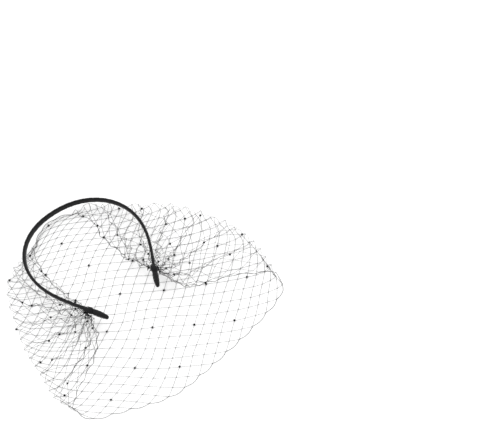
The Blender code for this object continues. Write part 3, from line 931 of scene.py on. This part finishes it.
def spread(values, index):
    """Sum vectors onto the points that they belong to."""
    sums = [np.bincount(index, values[:, axis], minlength=len(places)) for axis in range(3)]
    return np.stack(sums, axis=1)


for turn in range(ROUNDS):
    reach = places[ends] - places[starts]
    span = np.linalg.norm(reach, axis=1)
    goal = np.clip(span, shortest, rest)
    push = reach * ((span - goal) / np.maximum(span, 1e-6) * 0.5)[:, None]
    moved = spread(push, starts) - spread(push, ends)
    places += OVERSHOOT * moved / shares_each[:, None]
    bent = (places[before] + places[after]) / 2 - places[middles]
    places += BEND_HOLD * spread(bent, middles)
    places += (targets - places) * hold[:, None]
    places[:, 2] = np.clip(places[:, 2], low, high)
    if turn % BAND_EVERY == 0 or turn == ROUNDS - 1:
        gap = np.linalg.norm(places[:, None, :2] - band_points[None], axis=2)
        nearest = gap.argmin(axis=1)
        under = (gap.min(axis=1) < BAND_REACH) & ~at_hub
        places[under, 2] = np.minimum(places[under, 2], band_under[nearest[under]])
stretch = 100 * np.linalg.norm(places[ends] - places[starts], axis=1) / rest
print(f"thread parts at {np.mean(stretch):.0f}% of their length, worst {np.max(stretch):.0f}%")

# %% [markdown]
# ## Threads, knots and scallops
#
# With every place known, the node trees turn the lines into nylon thread and put a knot at each
# crossing. The thread of a long edge bows outwards between its knots.

# %% Make the net
SELVEDGE_RADIUS = 0.24 * MM
POINTS_PER_THREAD = 6.0

net_lines, selvedge_lines = [], []
for number, run in enumerate(runs):
    line = places[run].copy()
    if bulges[number]:
        chord = unit(line[-1] - line[0] + 1e-9)
        outward = np.array([-chord[1], chord[0], 0.0]) * np.sign(bulges[number])
        for step in range(1, THREAD_PARTS):
            line[step] += outward * abs(bulges[number]) * math.sin(math.pi * step / THREAD_PARTS)
    (selvedge_lines if bulges[number] else net_lines).append(line + SHIFT)
NET_TREE = thread_tree("veiling_thread", NYLON, 4)
thread_mesh = bake("threads", polyline_mesh("threads", net_lines), NET_TREE,
                   {"Thread radius": THREAD_RADIUS, "Points per thread": POINTS_PER_THREAD})
selvedge_mesh = bake("selvedges", polyline_mesh("selvedges", selvedge_lines), NET_TREE,
                     {"Thread radius": SELVEDGE_RADIUS, "Points per thread": POINTS_PER_THREAD})
knot_mesh = bake("knots", mesh_from("knots", places[:knot_count] + SHIFT), knot_tree("knots", NYLON),
                 {"Knot radius": KNOT_RADIUS, "Knot stretch": KNOT_STRETCH})
net = joined("veiling_net", [thread_mesh, selvedge_mesh, knot_mesh])
print("net faces", len(net.data.polygons))

# %% [markdown]
# ## Chenille dots
#
# A dot is a short length of chenille pressed round a knot: a ball of cut pile. A smooth ball would
# look like a bead, so each dot is a cluster of short fibres that stand out from a small core.

# %% Make the dots
DOT_RADIUS = 1.45 * MM
DOT_STEP = 4
DOT_MARGIN = 3
FIBRES = 46
FIBRE_RADIUS = 0.13 * MM
FIBRE_REACH = (0.75, 1.1)
FIBRE_ROOT = 0.3
CORE_SHARE = 0.72
CORE_STRETCH = 1.1

dot_places = []
for (a, b), knot in knot_index.items():
    rising, falling = (a + b) // 2, (a - b) // 2
    chosen = rising % DOT_STEP == 0 and falling % DOT_STEP == 1
    if chosen and DOT_MARGIN < a < last_a - DOT_MARGIN:
        middle = places[knot] + SHIFT
        middle[2] = max(middle[2], CORE_STRETCH * CORE_SHARE * DOT_RADIUS)
        dot_places.append(middle)
fibre_lines = []
for middle in dot_places:
    heading = rng.normal(0, 1, (FIBRES, 3))
    heading /= np.linalg.norm(heading, axis=1)[:, None]
    reach = DOT_RADIUS * rng.uniform(*FIBRE_REACH, FIBRES)
    for way, size in zip(heading, reach):
        tip = middle + way * size
        tip[2] = max(tip[2], FIBRE_RADIUS)
        fibre_lines.append([middle + way * FIBRE_ROOT * size, tip])
PILE_TREE = thread_tree("chenille_pile", CHENILLE, 3)
pile = bake("pile", polyline_mesh("pile", fibre_lines), PILE_TREE,
            {"Thread radius": FIBRE_RADIUS, "Points per thread": 2.0})
cores = bake("cores", mesh_from("cores", dot_places), knot_tree("dot_cores", CHENILLE),
             {"Knot radius": CORE_SHARE * DOT_RADIUS, "Knot stretch": CORE_STRETCH})
dots = joined("chenille_dots", [pile, cores])
print(len(dot_places), "dots,", len(dots.data.polygons), "faces")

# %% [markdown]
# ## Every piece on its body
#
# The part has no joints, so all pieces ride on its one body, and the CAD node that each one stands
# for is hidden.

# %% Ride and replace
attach(band, "root")
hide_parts("headband")
for side, word in ((-1, "left"), (1, "right")):
    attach(wraps[side], "root")
    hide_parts(f"tip_wrap_{word}")
    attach(bindings[side], "root")
    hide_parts(f"gather_binding_{word}")
for piece in (net, dots):
    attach(piece, "root")
    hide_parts("net_veil")

# %% [markdown]
# ## Floor, light and camera
#
# The photograph has a plain white ground and almost no shadow, so the light is broad and even: a
# bright sky all round and one large soft lamp. The camera looks down steeply through a long lens.

# %% Set the stage
FLOOR_SIZE = 12.0
FLOOR_DROP = 0.2 * MM
floor_mesh = mesh_from("floor", [(x * FLOOR_SIZE, y * FLOOR_SIZE, -FLOOR_DROP)
                                 for x, y in ((-1, -1), (1, -1), (1, 1), (-1, 1))], (), [(0, 1, 2, 3)])
floor = linked_object("floor", floor_mesh)
paper = bpy.data.materials.new("white_matt_paper")
paper.use_nodes = True
paper_shader = paper.node_tree.nodes["Principled BSDF"]
paper_shader.inputs["Base Color"].default_value = linear("#f4f4f4")
paper_shader.inputs["Roughness"].default_value = 0.9
paper_shader.inputs["Specular IOR Level"].default_value = 0.1
floor_mesh.materials.append(paper)

scene = bpy.context.scene
scene.view_settings.view_transform = "Standard"
world = bpy.data.worlds.new("soft_sky")
scene.world = world
world.use_nodes = True
world.node_tree.nodes["Background"].inputs["Color"].default_value = linear("#ffffff")
world.node_tree.nodes["Background"].inputs["Strength"].default_value = 1.22

lamp_data = bpy.data.lights.new("softbox", "AREA")
lamp_data.shape = "DISK"
lamp_data.size = 1.6
lamp_data.energy = 8.0
lamp = linked_object("softbox", lamp_data)
lamp.location = (-0.4, 0.5, 1.5)
lamp.rotation_euler = (math.radians(-18), math.radians(-15), 0)

# %% Place the camera
PHOTO_WIDTH = 486
MM_PER_PIXEL = 1.05
SENSOR = 36.0
LENS = 1000.0
AZIMUTH = math.radians(-35)
ELEVATION = math.radians(60)
AIM = np.array([164.2 * MM, 33.5 * MM, 0.0]) + SHIFT

camera_data = bpy.data.cameras.new("camera")
camera_data.sensor_width = SENSOR
camera_data.lens = LENS
distance = PHOTO_WIDTH * MM_PER_PIXEL * MM * LENS / SENSOR
back = np.array([math.sin(AZIMUTH) * math.cos(ELEVATION), -math.cos(AZIMUTH) * math.cos(ELEVATION),
                 math.sin(ELEVATION)])
camera = linked_object("camera", camera_data)
camera.location = AIM + back * distance
camera.rotation_euler = (math.pi / 2 - ELEVATION, 0.0, AZIMUTH)
scene.camera = camera
print(f"camera {distance:.2f} m away")

# %% Update the scene
bpy.context.view_layer.update()
